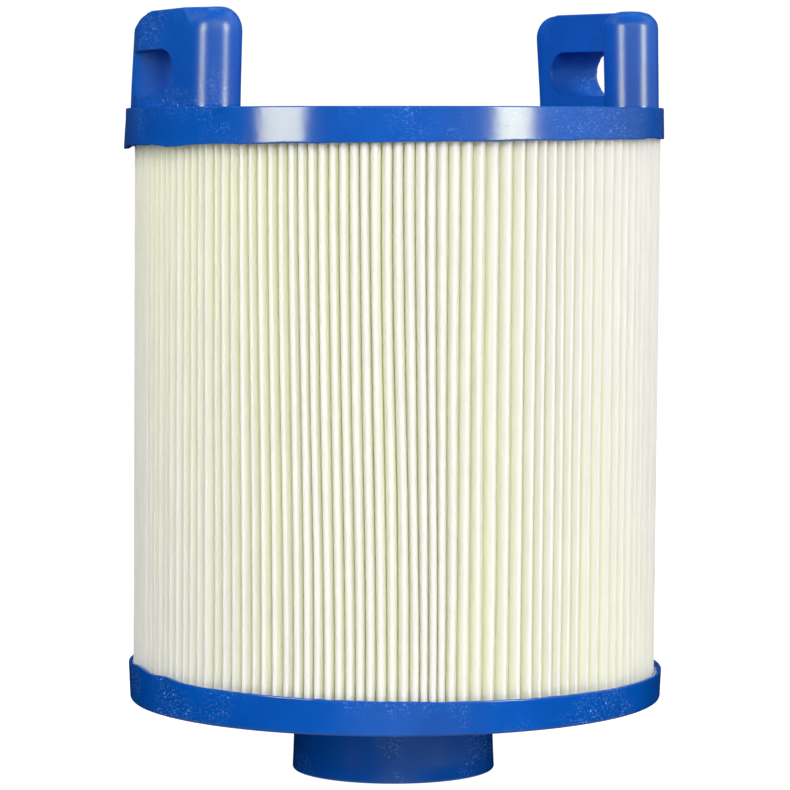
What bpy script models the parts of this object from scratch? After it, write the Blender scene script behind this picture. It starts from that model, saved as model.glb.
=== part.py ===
"""Top-load spa filter cartridge: a pleated media pack on a perforated core, potted into two
moulded polyurethane end caps. The top cap carries two slotted ears for a handle, and the
bottom cap a slip-fit spigot through which the clean water leaves.

Frame: metres, +Z up along the cartridge's axis, origin at the centre of the spigot's foot.
The ears' plates are parallel to the YZ plane, so that their slots run along X.
"""

import math

import bmesh
import bpy
from mathutils import Matrix, Vector

MM = 0.001

# Driving heights, from the foot of the spigot up
SPIGOT_LENGTH = 21.0 * MM
BOTTOM_RIM_HEIGHT = 8.9 * MM
FREE_PLEAT_HEIGHT = 147.3 * MM
TOP_RIM_HEIGHT = 9.5 * MM
EAR_HEIGHT = 27.3 * MM

BOTTOM_LIP_Z = SPIGOT_LENGTH + BOTTOM_RIM_HEIGHT
TOP_LIP_Z = BOTTOM_LIP_Z + FREE_PLEAT_HEIGHT
TOP_FACE_Z = TOP_LIP_Z + TOP_RIM_HEIGHT

# Driving radii
TOP_CAP_RADIUS = 75.5 * MM
BOTTOM_CAP_RADIUS = 75.1 * MM
CAP_DRAFT = 0.45 * MM
CAP_EDGE_ROUND = 1.3 * MM
PLEAT_TIP_RADIUS = 73.2 * MM
CORE_OUTER_RADIUS = 27.5 * MM
CORE_INNER_RADIUS = 24.0 * MM
BORE_RADIUS = 21.5 * MM

# Potting: how deep the media and the core sit in each cap, and how far the resin's level
# leans, because the moulds were not level when it was poured
EMBED_DEPTH = 4.0 * MM
LEAN_DIRECTION = Vector((math.cos(math.radians(-38.0)), math.sin(math.radians(-38.0))))
TOP_LIP_LEAN = 0.012
BOTTOM_LIP_LEAN = -0.014
GAP = 0.3 * MM

# Spigot
SPIGOT_ROOT_RADIUS = 27.6 * MM
SPIGOT_FOOT_RADIUS = 28.2 * MM
SPIGOT_FOOT_ROUND = 0.9 * MM
LINER_WALL = 2.0 * MM
LINER_FOOT_Z = 1.0 * MM
LINER_FLANGE_RADIUS = 27.0 * MM
LINER_FLANGE_HEIGHT = 1.5 * MM
LINER_SOCKET_DEPTH = 4.0 * MM

# Core plug, a cup whose flange lies on the core's upper end
PLUG_WALL = 1.5 * MM
PLUG_DEPTH = 7.0 * MM

# Core sections
CORE_SECTIONS = ("core_lower", "core_middle", "core_upper")
CORE_COLUMNS = 36
CORE_COLUMNS_PER_WINDOW = 3
CORE_WINDOW_ROWS = 3
CORE_RIB_HEIGHT = 3.2 * MM
CORE_JOINT_HEIGHT = 2.6 * MM

# Media, as the plain round pack that its pleats fill, with a slot for the seam
SEAM_AZIMUTH = math.radians(52.0)
SEAM_EDGE_RADIUS = 72.6 * MM
BEAD_DEPTH = 9.0 * MM
BEAD_WIDTH = 0.8 * MM

# Ear in plan: a plate with one round end, and a round post at its other end that stands
# inward of the plate. The +X ear is given, and the other one is its half turn.
EAR_ALONG = Vector((0.0, -1.0))
EAR_OUTWARD = Vector((1.0, 0.0))
EAR_ROUND_END = Vector((59.8, -4.1)) * MM
EAR_POST = Vector((54.6, -39.2)) * MM
EAR_ROUND = 7.05 * MM
EAR_REACH = EAR_POST.length + EAR_ROUND
EAR_ROOT_DEPTH = 2.0 * MM
EAR_END_FILLET = 5.0 * MM
EAR_FACE_FILLET = 0.8 * MM

# Slot through each ear, along the plate from the round end's centre
SLOT_START = 4.0 * MM
SLOT_END = 25.5 * MM
SLOT_HEIGHT = 12.8 * MM
SLOT_FLOOR = 3.6 * MM
SLOT_CORNER = 6.0 * MM

CAP_SEGMENTS = 64
TUBE_SEGMENTS = 40
EAR_ARC_STEPS = 8
FILLET_STEPS = 4


def clear_scene():
    for obj in list(bpy.data.objects):
        bpy.data.objects.remove(obj, do_unlink=True)


def plain_material(name, colour, roughness):
    material = bpy.data.materials.new(name)
    material.use_nodes = True
    shader = material.node_tree.nodes["Principled BSDF"]
    shader.inputs["Base Color"].default_value = (*colour, 1.0)
    shader.inputs["Roughness"].default_value = roughness
    material.diffuse_color = (*colour, 1.0)
    return material


def add_object(name, mesh, material=None, smooth_angle=math.radians(35.0)):
    obj = bpy.data.objects.new(name, mesh)
    bpy.context.scene.collection.objects.link(obj)
    if material:
        mesh.materials.append(material)
        mesh.shade_smooth()
        mesh.set_sharp_from_angle(angle=smooth_angle)
    return obj


def mesh_from(name, bm):
    bmesh.ops.recalc_face_normals(bm, faces=bm.faces)
    mesh = bpy.data.meshes.new(name)
    bm.to_mesh(mesh)
    bm.free()
    return mesh


def turned_mesh(name, profile, segments):
    """A solid of revolution from a closed (radius, height) outline, which may touch the axis."""
    bm = bmesh.new()
    rings = []
    for radius, height in profile:
        if radius < 1e-6:
            rings.append([bm.verts.new((0.0, 0.0, height))] * segments)
            continue
        ring = []
        for step in range(segments):
            angle = 2.0 * math.pi * step / segments
            ring.append(bm.verts.new((radius * math.cos(angle), radius * math.sin(angle), height)))
        rings.append(ring)
    for index, ring in enumerate(rings):
        following = rings[(index + 1) % len(rings)]
        for step in range(segments):
            after = (step + 1) % segments
            corners = []
            for vert in (ring[step], ring[after], following[after], following[step]):
                if vert not in corners:
                    corners.append(vert)
            if len(corners) > 2:
                bm.faces.new(corners)
    return mesh_from(name, bm)


def prism_mesh(name, outline, bottom, top, hole=()):
    """An upright prism from a closed plan outline, with a hole through it if one is given."""
    bm = bmesh.new()
    ends = ([], [])
    for loop in filter(None, (outline, hole)):
        low = [bm.verts.new((x, y, bottom)) for x, y in loop]
        high = [bm.verts.new((x, y, top)) for x, y in loop]
        for index in range(len(loop)):
            after = (index + 1) % len(loop)
            bm.faces.new((low[index], low[after], high[after], high[index]))
            for end, ring in zip(ends, (low, high)):
                end.append(bm.edges.get((ring[index], ring[after])))
    for end in ends:
        bmesh.ops.triangle_fill(bm, use_beauty=True, edges=end)
    return mesh_from(name, bm)


def rounded_corner(centre, radius, start, end, steps):
    """Points on an arc in a profile or plan, from one angle to another, in radians."""
    points = []
    for step in range(steps + 1):
        angle = start + (end - start) * step / steps
        points.append((centre[0] + radius * math.cos(angle), centre[1] + radius * math.sin(angle)))
    return points


def lean_lip(mesh, lip_z, slope):
    """Lets the resin's level lean: moves the lip's rings, which lie at lip_z."""
    for vert in mesh.vertices:
        if abs(vert.co.z - lip_z) < 0.1 * MM:
            vert.co.z += slope * vert.co.xy.dot(LEAN_DIRECTION)


def apply_boolean(obj, cutter, operation):
    modifier = obj.modifiers.new(f"{operation.lower()}_{cutter.name}", "BOOLEAN")
    modifier.operation = operation
    modifier.object = cutter
    cutter.hide_render = True
    cutter.display_type = "WIRE"


# The ears


def ear_outline():
    """The +X ear's plan as (x, y, fillet radius) points, anticlockwise."""
    inner_corner = EAR_ROUND_END - EAR_ROUND * EAR_OUTWARD
    outer_corner = EAR_ROUND_END + EAR_ROUND * EAR_OUTWARD

    # Where the outer face runs into the circle that all of the ear stays inside
    travel = -outer_corner.dot(EAR_ALONG)
    travel += math.sqrt(travel**2 - outer_corner.length_squared + EAR_REACH**2)
    face_end = outer_corner + travel * EAR_ALONG

    # Where the post stands out of the inner face
    behind = (EAR_POST - inner_corner).dot(EAR_OUTWARD)
    to_post = (EAR_POST - inner_corner).dot(EAR_ALONG)
    post_start = inner_corner + (to_post - math.sqrt(EAR_ROUND**2 - behind**2)) * EAR_ALONG
    meets_face = math.atan2(*(post_start - EAR_POST).yx) - 2.0 * math.pi
    post_heading = math.atan2(*EAR_POST.yx)

    outline = []

    def add_point(point, fillet):
        outline.append((point[0], point[1], fillet))

    def add_face(start, end, shares):
        for share in shares:
            add_point(start.lerp(end, share), EAR_FACE_FILLET)

    add_face(inner_corner, post_start, (0.9, 0.12))
    for point in rounded_corner(EAR_ROUND_END, EAR_ROUND, math.pi, 0.0, EAR_ARC_STEPS):
        add_point(point, EAR_END_FILLET)
    add_face(outer_corner, face_end, (0.15, 0.75))
    rim_arc = rounded_corner(
        (0.0, 0.0), EAR_REACH, math.atan2(*face_end.yx), post_heading, EAR_ARC_STEPS // 2
    )
    for point in rim_arc[:-1]:
        add_point(point, EAR_END_FILLET)
    post_arc = rounded_corner(EAR_POST, EAR_ROUND, post_heading, meets_face, EAR_ARC_STEPS + 2)
    for point in post_arc[:-1]:
        add_point(point, EAR_END_FILLET)
    add_point(post_arc[-1], EAR_FACE_FILLET)
    return outline[::-1]


def ear_mesh(name):
    """Sweeps the plan outline up, and draws it in over the last few millimetres as a fillet."""
    outline = ear_outline()
    count = len(outline)
    top = TOP_FACE_Z + EAR_HEIGHT
    points = [Vector(entry[:2]) for entry in outline]
    fillets = [entry[2] for entry in outline]
    inward = []
    for index, point in enumerate(points):
        before = (point - points[index - 1]).normalized()
        after = (points[(index + 1) % count] - point).normalized()
        tangent = (before + after).normalized()
        inward.append(Vector((-tangent.y, tangent.x)))

    bm = bmesh.new()
    rings = [[bm.verts.new((point.x, point.y, TOP_FACE_Z - EAR_ROOT_DEPTH)) for point in points]]
    for step in range(FILLET_STEPS + 1):
        turn = 0.5 * math.pi * step / FILLET_STEPS
        ring = []
        for point, fillet, direction in zip(points, fillets, inward):
            moved = point + direction * fillet * (1.0 - math.cos(turn))
            ring.append(bm.verts.new((moved.x, moved.y, top - fillet * (1.0 - math.sin(turn)))))
        rings.append(ring)
    for lower, upper in zip(rings, rings[1:]):
        for index in range(count):
            after = (index + 1) % count
            bm.faces.new((lower[index], lower[after], upper[after], upper[index]))
    bm.faces.new(rings[0])
    bm.faces.new(rings[-1])
    bmesh.ops.triangulate(bm, faces=[face for face in bm.faces if len(face.verts) > 4])
    return mesh_from(name, bm)


def slot_mesh(name):
    """The cutter for one ear's slot: a rounded rectangle in the plate's face, through it."""
    corners = (
        (SLOT_END - SLOT_CORNER, SLOT_HEIGHT - SLOT_CORNER, 0.0),
        (SLOT_START + SLOT_CORNER, SLOT_HEIGHT - SLOT_CORNER, 0.5 * math.pi),
        (SLOT_START + SLOT_CORNER, SLOT_CORNER, math.pi),
        (SLOT_END - SLOT_CORNER, SLOT_CORNER, 1.5 * math.pi),
    )
    section = []
    for across, height, start in corners:
        section += rounded_corner((across, height), SLOT_CORNER, start, start + 0.5 * math.pi, 4)
    reach = 2.0 * EAR_ROUND
    bm = bmesh.new()
    rings = []
    for side in (-reach, reach):
        ring = []
        for across, height in section:
            place = EAR_ROUND_END + across * EAR_ALONG + side * EAR_OUTWARD
            ring.append(bm.verts.new((place.x, place.y, TOP_FACE_Z + SLOT_FLOOR + height)))
        rings.append(ring)
    for index in range(len(section)):
        after = (index + 1) % len(section)
        bm.faces.new((rings[0][index], rings[0][after], rings[1][after], rings[1][index]))
    for ring in rings:
        bm.faces.new(ring)
    return mesh_from(name, bm)


# The moulded caps


def top_end_cap(material):
    edge = TOP_CAP_RADIUS - CAP_DRAFT - CAP_EDGE_ROUND
    lip_inside = PLEAT_TIP_RADIUS + GAP
    ceiling = TOP_LIP_Z + EMBED_DEPTH
    profile = [(0.0, TOP_FACE_Z)]
    profile += rounded_corner((edge, TOP_FACE_Z - CAP_EDGE_ROUND), CAP_EDGE_ROUND, 0.5 * math.pi, 0.0, 3)
    profile += [(TOP_CAP_RADIUS, TOP_LIP_Z), (lip_inside, TOP_LIP_Z), (lip_inside, ceiling), (0.0, ceiling)]
    mesh = turned_mesh("top_end_cap", profile, CAP_SEGMENTS)
    lean_lip(mesh, TOP_LIP_Z, TOP_LIP_LEAN)
    cap = add_object("top_end_cap", mesh, material)
    for side, turn in (("plus_x", 0.0), ("minus_x", math.pi)):
        ear = add_object(f"ear_{side}", ear_mesh(f"ear_{side}"), material)
        slot = add_object(f"slot_{side}", slot_mesh(f"slot_{side}"))
        for helper in (ear, slot):
            helper.data.transform(Matrix.Rotation(turn, 4, "Z"))
        apply_boolean(cap, ear, "UNION")
        apply_boolean(cap, slot, "DIFFERENCE")


def bottom_end_cap(material):
    lip_inside = PLEAT_TIP_RADIUS + GAP
    base_radius = BOTTOM_CAP_RADIUS - CAP_DRAFT
    floor = BOTTOM_LIP_Z - EMBED_DEPTH
    bore = BORE_RADIUS + LINER_WALL + GAP
    round_centre = SPIGOT_FOOT_RADIUS - SPIGOT_FOOT_ROUND
    profile = [(bore, floor), (bore, 0.0)]
    profile += rounded_corner((round_centre, SPIGOT_FOOT_ROUND), SPIGOT_FOOT_ROUND, -0.5 * math.pi, 0.0, 3)
    profile.append((SPIGOT_ROOT_RADIUS, SPIGOT_LENGTH))
    profile += rounded_corner(
        (base_radius - CAP_EDGE_ROUND, SPIGOT_LENGTH + CAP_EDGE_ROUND), CAP_EDGE_ROUND, -0.5 * math.pi, 0.0, 3
    )
    profile += [(BOTTOM_CAP_RADIUS, BOTTOM_LIP_Z), (lip_inside, BOTTOM_LIP_Z), (lip_inside, floor)]
    mesh = turned_mesh("bottom_end_cap", profile, CAP_SEGMENTS)
    lean_lip(mesh, BOTTOM_LIP_Z, BOTTOM_LIP_LEAN)
    add_object("bottom_end_cap", mesh, material)


# The parts inside


def spigot_liner(material):
    """A rigid tube that keeps the soft spigot round, with a flange that the core stands on."""
    outer = BORE_RADIUS + LINER_WALL
    flange_low = BOTTOM_LIP_Z - EMBED_DEPTH + GAP
    flange_high = flange_low + LINER_FLANGE_HEIGHT
    profile = [
        (BORE_RADIUS, LINER_FOOT_Z),
        (outer, LINER_FOOT_Z),
        (outer, flange_low),
        (LINER_FLANGE_RADIUS, flange_low),
        (LINER_FLANGE_RADIUS, flange_high),
        (outer, flange_high),
        (outer, flange_high + LINER_SOCKET_DEPTH),
        (BORE_RADIUS, flange_high + LINER_SOCKET_DEPTH),
    ]
    add_object("spigot_liner", turned_mesh("spigot_liner", profile, TUBE_SEGMENTS), material)
    return flange_high + GAP


def core_plug(material):
    """A cup that closes the core's upper end, so that no resin runs into it."""
    flange_high = TOP_LIP_Z + EMBED_DEPTH - GAP
    flange_low = flange_high - PLUG_WALL
    skirt = CORE_INNER_RADIUS - GAP
    foot = flange_low - PLUG_DEPTH
    profile = [
        (0.0, foot),
        (skirt, foot),
        (skirt, flange_low),
        (CORE_OUTER_RADIUS, flange_low),
        (CORE_OUTER_RADIUS, flange_high),
        (skirt - PLUG_WALL, flange_high),
        (skirt - PLUG_WALL, foot + PLUG_WALL),
        (0.0, foot + PLUG_WALL),
    ]
    add_object("core_plug", turned_mesh("core_plug", profile, TUBE_SEGMENTS), material)
    return flange_low - GAP


def polar_cell_mesh(name, radii, columns, heights, is_solid):
    """The boundary of the solid cells of a grid in radius, angle and height."""
    bm = bmesh.new()
    corners = {}

    def corner(ring, column, level):
        key = (ring, column % columns, level)
        if key not in corners:
            angle = 2.0 * math.pi * key[1] / columns
            radius = radii[ring]
            corners[key] = bm.verts.new(
                (radius * math.cos(angle), radius * math.sin(angle), heights[level])
            )
        return corners[key]

    def filled(ring, column, level):
        if not 0 <= ring < len(radii) - 1 or not 0 <= level < len(heights) - 1:
            return False
        return is_solid(ring, column % columns, level)

    for ring in range(len(radii) - 1):
        for column in range(columns):
            for level in range(len(heights) - 1):
                if not filled(ring, column, level):
                    continue
                sides = (
                    ((ring - 1, column, level), ((0, 0, 0), (0, 1, 0), (0, 1, 1), (0, 0, 1))),
                    ((ring + 1, column, level), ((1, 0, 0), (1, 0, 1), (1, 1, 1), (1, 1, 0))),
                    ((ring, column - 1, level), ((0, 0, 0), (0, 0, 1), (1, 0, 1), (1, 0, 0))),
                    ((ring, column + 1, level), ((0, 1, 0), (1, 1, 0), (1, 1, 1), (0, 1, 1))),
                    ((ring, column, level - 1), ((0, 0, 0), (1, 0, 0), (1, 1, 0), (0, 1, 0))),
                    ((ring, column, level + 1), ((0, 0, 1), (0, 1, 1), (1, 1, 1), (1, 0, 1))),
                )
                for neighbour, offsets in sides:
                    if not filled(*neighbour):
                        face = [corner(ring + a, column + b, level + c) for a, b, c in offsets]
                        bm.faces.new(face)
    bmesh.ops.dissolve_limit(bm, angle_limit=math.radians(0.5), verts=bm.verts, edges=bm.edges)
    return mesh_from(name, bm)


def core_section(name, bottom, top, has_socket, has_tongue, material):
    """One moulded length of the core. A tongue at its top goes into the next one's socket."""
    middle = 0.5 * (CORE_INNER_RADIUS + CORE_OUTER_RADIUS)
    radii = (CORE_INNER_RADIUS, middle - 0.5 * GAP, middle + 0.5 * GAP, CORE_OUTER_RADIUS)
    joint = CORE_JOINT_HEIGHT
    cage_low = bottom + joint + CORE_RIB_HEIGHT
    cage_high = top - CORE_RIB_HEIGHT
    window = (cage_high - cage_low - (CORE_WINDOW_ROWS - 1) * CORE_RIB_HEIGHT) / CORE_WINDOW_ROWS
    heights = [bottom, bottom + joint, cage_low]
    for row in range(CORE_WINDOW_ROWS):
        heights.append(heights[-1] + window)
        heights.append(heights[-1] + CORE_RIB_HEIGHT)
    heights[-1] = top
    window_levels = range(2, 2 + 2 * CORE_WINDOW_ROWS, 2)
    if has_tongue:
        heights.append(top + joint - GAP)
    tongue_level = len(window_levels) * 2 + 2

    def is_solid(ring, column, level):
        if level == 0 and has_socket:
            return ring == 2
        if level == tongue_level:
            return ring == 0
        if level in window_levels:
            return column % CORE_COLUMNS_PER_WINDOW == 0
        return True

    mesh = polar_cell_mesh(name, radii, CORE_COLUMNS, heights, is_solid)
    add_object(name, mesh, material)


def core(bottom, top, material):
    pitch = (top - bottom + GAP) / len(CORE_SECTIONS)
    last = len(CORE_SECTIONS) - 1
    for index, name in enumerate(CORE_SECTIONS):
        low = bottom + index * pitch
        core_section(name, low, low + pitch - GAP, index > 0, index < last, material)


def plan_point(radius, azimuth, aside):
    """A point at a radius on a heading, moved sideways from it in plan."""
    outward = Vector((math.cos(azimuth), math.sin(azimuth)))
    sideways = Vector((-outward.y, outward.x))
    return radius * outward + aside * sideways


def pack_outline():
    """The pack's outside in plan, from one side of the seam's slot round to the other."""
    half_slot = 0.5 * BEAD_WIDTH + GAP
    slot_foot = SEAM_EDGE_RADIUS - BEAD_DEPTH - GAP
    half_angle = math.asin(half_slot / PLEAT_TIP_RADIUS)
    last = SEAM_AZIMUTH + 2.0 * math.pi - half_angle
    outline = [plan_point(slot_foot, SEAM_AZIMUTH, half_slot)]
    outline += rounded_corner(
        (0.0, 0.0), PLEAT_TIP_RADIUS, SEAM_AZIMUTH + half_angle, last, CAP_SEGMENTS - 1
    )
    outline.append(plan_point(slot_foot, SEAM_AZIMUTH, -half_slot))
    return outline


def pleated_media(bottom, top, material):
    bore = rounded_corner((0.0, 0.0), CORE_OUTER_RADIUS + GAP, 0.0, 2.0 * math.pi, TUBE_SEGMENTS)
    mesh = prism_mesh("pleated_media", pack_outline(), bottom, top, hole=bore[:-1])
    add_object("pleated_media", mesh, material)


def seam_bead(bottom, top, material):
    """Hot-melt adhesive between the media's two free edges, narrower towards the core."""
    foot = SEAM_EDGE_RADIUS - BEAD_DEPTH
    section = [(foot, -0.3), (SEAM_EDGE_RADIUS, -0.5), (SEAM_EDGE_RADIUS, 0.5), (foot, 0.3)]
    outline = [plan_point(radius, SEAM_AZIMUTH, share * BEAD_WIDTH) for radius, share in section]
    add_object("seam_bead", prism_mesh("seam_bead", outline, bottom, top), material)


def main():
    clear_scene()
    polyurethane = plain_material("blue_polyurethane", (0.01, 0.10, 0.58), 0.35)
    fleece = plain_material("polyester_fleece", (0.86, 0.86, 0.78), 0.85)
    hard_plastic = plain_material("white_abs", (0.82, 0.82, 0.80), 0.45)
    hot_melt = plain_material("hot_melt", (0.80, 0.74, 0.55), 0.4)

    top_end_cap(polyurethane)
    bottom_end_cap(polyurethane)
    core_bottom = spigot_liner(hard_plastic)
    core_top = core_plug(hard_plastic)
    core(core_bottom, core_top, hard_plastic)
    media_bottom = BOTTOM_LIP_Z - EMBED_DEPTH + GAP
    media_top = TOP_LIP_Z + EMBED_DEPTH - GAP
    pleated_media(media_bottom, media_top, fleece)
    seam_bead(media_bottom, media_top, hot_melt)


main()
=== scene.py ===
"""Looks of the pleated spa filter cartridge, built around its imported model.

Lengths are in metres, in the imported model's frame: +Z runs up the cartridge's axis from the
centre of the spigot's foot. A name or a comment says so where they are in millimetres. Places
round the axis are in degrees from the side that faces the camera, positive to the camera's
right.
"""

import math
import random

import bmesh
import bpy
import numpy as np
from mathutils import Matrix, Vector, noise


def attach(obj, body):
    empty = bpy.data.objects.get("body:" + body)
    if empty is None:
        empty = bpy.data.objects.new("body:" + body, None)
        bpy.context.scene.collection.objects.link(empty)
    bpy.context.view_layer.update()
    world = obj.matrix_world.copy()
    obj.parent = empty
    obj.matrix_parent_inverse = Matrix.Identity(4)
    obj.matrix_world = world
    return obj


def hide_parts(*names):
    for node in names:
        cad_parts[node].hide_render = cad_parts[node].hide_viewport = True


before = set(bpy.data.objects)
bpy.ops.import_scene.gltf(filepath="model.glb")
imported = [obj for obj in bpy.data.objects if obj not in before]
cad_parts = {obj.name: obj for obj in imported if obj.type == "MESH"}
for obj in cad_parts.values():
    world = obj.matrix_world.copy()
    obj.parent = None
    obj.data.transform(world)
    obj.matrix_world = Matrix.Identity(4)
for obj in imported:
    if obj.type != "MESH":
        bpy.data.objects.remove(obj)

MM = 0.001

# The camera, and the heading that it looks along, from +X towards +Y
VIEW_HEADING = math.radians(52.0)
CAMERA_DISTANCE = 1.033
CAMERA_HEIGHT = 0.1773
CAMERA_PITCH = math.radians(3.95)
CAMERA_LENS = 167.1

# Heights of the castings
SPIGOT_TOP_Z = 20.7 * MM
BOTTOM_LIP_Z = 30.2 * MM
TOP_LIP_Z = 177.17 * MM
TOP_FACE_Z = 186.67 * MM

# How steeply the lips rise towards the camera's right
BOTTOM_LIP_LEAN = -0.014
TOP_LIP_LEAN = 0.0118

# How far the resin stands back from each lip, and how far the media goes in past the lips
TOP_RESIN_BACK = 1.0 * MM
BOTTOM_RESIN_BACK = 1.1 * MM
POTTING = 3.5 * MM

# Radii of the castings
TOP_CAP_RADIUS = 75.5 * MM
BOTTOM_CAP_RADIUS = 75.35 * MM
BORE_RADIUS = 23.8 * MM
SPIGOT_ROOT_RADIUS = 28.0 * MM
SPIGOT_FOOT_RADIUS = 28.6 * MM
RESIN_INNER_RADIUS = 27.8 * MM
SPIGOT_ASIDE = -0.5 * MM
CAP_SEGMENTS = 480

# The ears: a plate with one round end, and a post at the other end, inward of the plate. Their
# roots reach into the cap, and the plate's post end lies a little inside the post's reach
EAR_END = Vector((60.2, -4.4)) * MM
EAR_POST = Vector((54.05, -38.8)) * MM
EAR_RADIUS = 7.55 * MM
EAR_TOP_Z = TOP_FACE_Z + 26.9 * MM
POST_TOP_Z = TOP_FACE_Z + 27.2 * MM
PLATE_ROOT = 2.0 * MM
POST_ROOT = 2.7 * MM
POST_FILLET_DROP = 4.6 * MM
PLATE_INSET = 0.3 * MM

# Depths of the plate's fillets, what they lose over its length, and their height for each depth
EAR_FILLET_MM = 5.9
EAR_FILLET_LOSS_MM = 32.0
POST_END_FILLET_MM = 4.0
POST_END_FILLET_LOSS_MM = 24.0
SMALL_FILLET_MM = 0.5
FILLET_STRETCH = 1.15

# The slot's heights above the top face, how far its cutter reaches, and its ragged edge
SLOT_LOW_MM = 3.6
SLOT_HIGH_MM = 16.2
SLOT_CORNER_MM = 6.1
SLOT_FAR_END_MM = 50.0
SLOT_HALF_DEPTH_MM = 16.0
RAGGED_MM = 0.3

# Each ear came out of its mould a little differently. Pairs are for its round end and its post.
# In mm: how far they stand off towards the round end, at the foot and at the top, how much
# higher they end, how far the post's dome is drawn in, how much lower its corner is worn, and
# where along the ear the slot starts. The skew is that start's slant across the ear
EARS = (
    {
        "turn": 0.0, "foot": (0.5, -0.3), "top": (2.7, 0.5), "tilt": (0.05, -0.05),
        "dome": 5.8, "wear": 0.0, "slot": 3.8, "skew": -0.2,
    },
    {
        "turn": math.pi, "foot": (0.9, -0.1), "top": (2.4, 2.5), "tilt": (0.2, -1.0),
        "dome": 4.9, "wear": 1.0, "slot": 8.4, "skew": 0.0,
    },
)

# The pleated sheet
PLEATS = 150
SHEET_THICKNESS = 0.42 * MM
TIP_RADIUS = 73.6 * MM
FOLD_RADIUS = 28.2 * MM
TIP_HALF_WIDTH = 0.62 * MM
SHEET_ROWS = 11
SEAM_PLACE = 180.0
SEAM_EDGE_RADIUS = 72.4 * MM
SEAM_HALF_WIDTH = 0.64 * MM
SEAM_FOLD_ASIDE = 0.3 * MM

# How far the pack sits to the camera's right at its foot, and how much further at its top, in mm
PACK_ASIDE_MM = -0.3
PACK_LEAN_MM = 1.2

# The stage, and its lights: place and elevation in degrees, distance, width and height in
# metres, and power in watts
FLOOR_RADIUS = 9.0
BACKDROP_RADIUS = 8.9
FLOOR_DROP = 0.05 * MM
SOFTBOX_DISTANCE = 1.3
SOFTBOX_LOW = 0.12
SOFTBOX_HIGH = 0.78
OVERHEADS = (
    ("front_overhead", 3.0, 27.0, 1.25, 0.9, 0.6, 11.4),
    ("floor_bounce", 6.0, -28.0, 0.6, 0.5, 0.25, 1.4),
    ("left_overhead", -100.0, 48.0, 1.25, 0.7, 0.6, 10.5),
    ("right_overhead", 105.0, 48.0, 1.25, 0.7, 0.6, 11.0),
    ("rear_overhead", 180.0, 52.0, 1.25, 0.9, 0.5, 12.0),
)


# Places round the axis


def azimuth(place):
    """The plan angle of a place in degrees from the side that faces the camera."""
    return VIEW_HEADING - math.pi + np.radians(place)


def place_of(x, y):
    """The place, in degrees from the side that faces the camera, of a point in plan."""
    turn = math.degrees(math.atan2(y, x) - VIEW_HEADING + math.pi)
    return (turn + 180.0) % 360.0 - 180.0


def bump(value, centre, width):
    """A smooth bump, 1 at its centre."""
    return math.exp(-(((value - centre) / width) ** 2))


def smoothstep(low, high, value):
    """A smooth step from 0 at low to 1 at high."""
    share = np.clip((value - low) / (high - low), 0.0, 1.0)
    return share * share * (3.0 - 2.0 * share)


# Towards the camera's right, in plan
RIGHTWARD = Vector((math.cos(VIEW_HEADING - math.pi / 2), math.sin(VIEW_HEADING - math.pi / 2)))


# Meshes


def new_object(name, mesh, material=None):
    """A mesh's object, linked to the scene."""
    obj = bpy.data.objects.new(name, mesh)
    bpy.context.scene.collection.objects.link(obj)
    if material:
        mesh.materials.append(material)
    return obj


def mesh_from_bmesh(name, bm):
    """A mesh with its faces turned outward; the bmesh is used up."""
    bmesh.ops.recalc_face_normals(bm, faces=bm.faces)
    mesh = bpy.data.meshes.new(name)
    bm.to_mesh(mesh)
    bm.free()
    return mesh


def arc(centre, radius, start, end, steps):
    """Points on an arc, between two angles in degrees."""
    points = []
    for step in range(steps + 1):
        angle = math.radians(start + (end - start) * step / steps)
        points.append((centre[0] + radius * math.cos(angle), centre[1] + radius * math.sin(angle)))
    return points


def turned_mesh(name, profile, segments, shape=None):
    """A solid of revolution from a closed (radius, height) outline, which may touch the axis.

    shape, if given, moves each point: it takes and returns (place, radius, height).
    """
    bm = bmesh.new()
    rings = []
    for radius, height in profile:
        if radius < 1e-7:
            rings.append([bm.verts.new((0.0, 0.0, height))] * segments)
            continue
        ring = []
        for step in range(segments):
            turn = 2.0 * math.pi * step / segments
            place = place_of(math.cos(turn), math.sin(turn))
            r, z = shape(place, radius, height) if shape else (radius, height)
            ring.append(bm.verts.new((r * math.cos(turn), r * math.sin(turn), z)))
        rings.append(ring)
    for index, ring in enumerate(rings):
        following = rings[(index + 1) % len(rings)]
        if ring[0] is ring[1] and following[0] is following[1]:
            continue
        for step in range(segments):
            after = (step + 1) % segments
            corners = []
            for vert in (ring[step], ring[after], following[after], following[step]):
                if vert not in corners:
                    corners.append(vert)
            bm.faces.new(corners)
    return mesh_from_bmesh(name, bm)


def volume(mesh):
    """The volume inside a closed mesh."""
    bm = bmesh.new()
    bm.from_mesh(mesh)
    size = bm.calc_volume()
    bm.free()
    return size


def apply_boolean(obj, cutter, operation):
    """Applies a Boolean, again with self-intersections if it lost a part, and drops the cutter."""
    modifier = obj.modifiers.new("cut", "BOOLEAN")
    modifier.operation = operation
    modifier.object = cutter
    least = 0.3 * volume(obj.data)
    if operation == "UNION":
        smaller, larger = sorted((volume(obj.data), volume(cutter.data)))
        least = larger + 0.25 * smaller
    for careful in (False, True):
        modifier.use_self = careful
        bpy.context.view_layer.update()
        evaluated = obj.evaluated_get(bpy.context.evaluated_depsgraph_get())
        mesh = bpy.data.meshes.new_from_object(evaluated)
        if volume(mesh) > least:
            break
    obj.modifiers.remove(modifier)
    obj.data = mesh
    bpy.data.objects.remove(cutter)


# Materials


def set_range(node, low, high, out_low, out_high):
    """Makes a Map Range node run from out_low at low to out_high at high."""
    ends = {"From Min": low, "From Max": high, "To Min": out_low, "To Max": out_high}
    for key, number in ends.items():
        node.inputs[key].default_value = number


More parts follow.
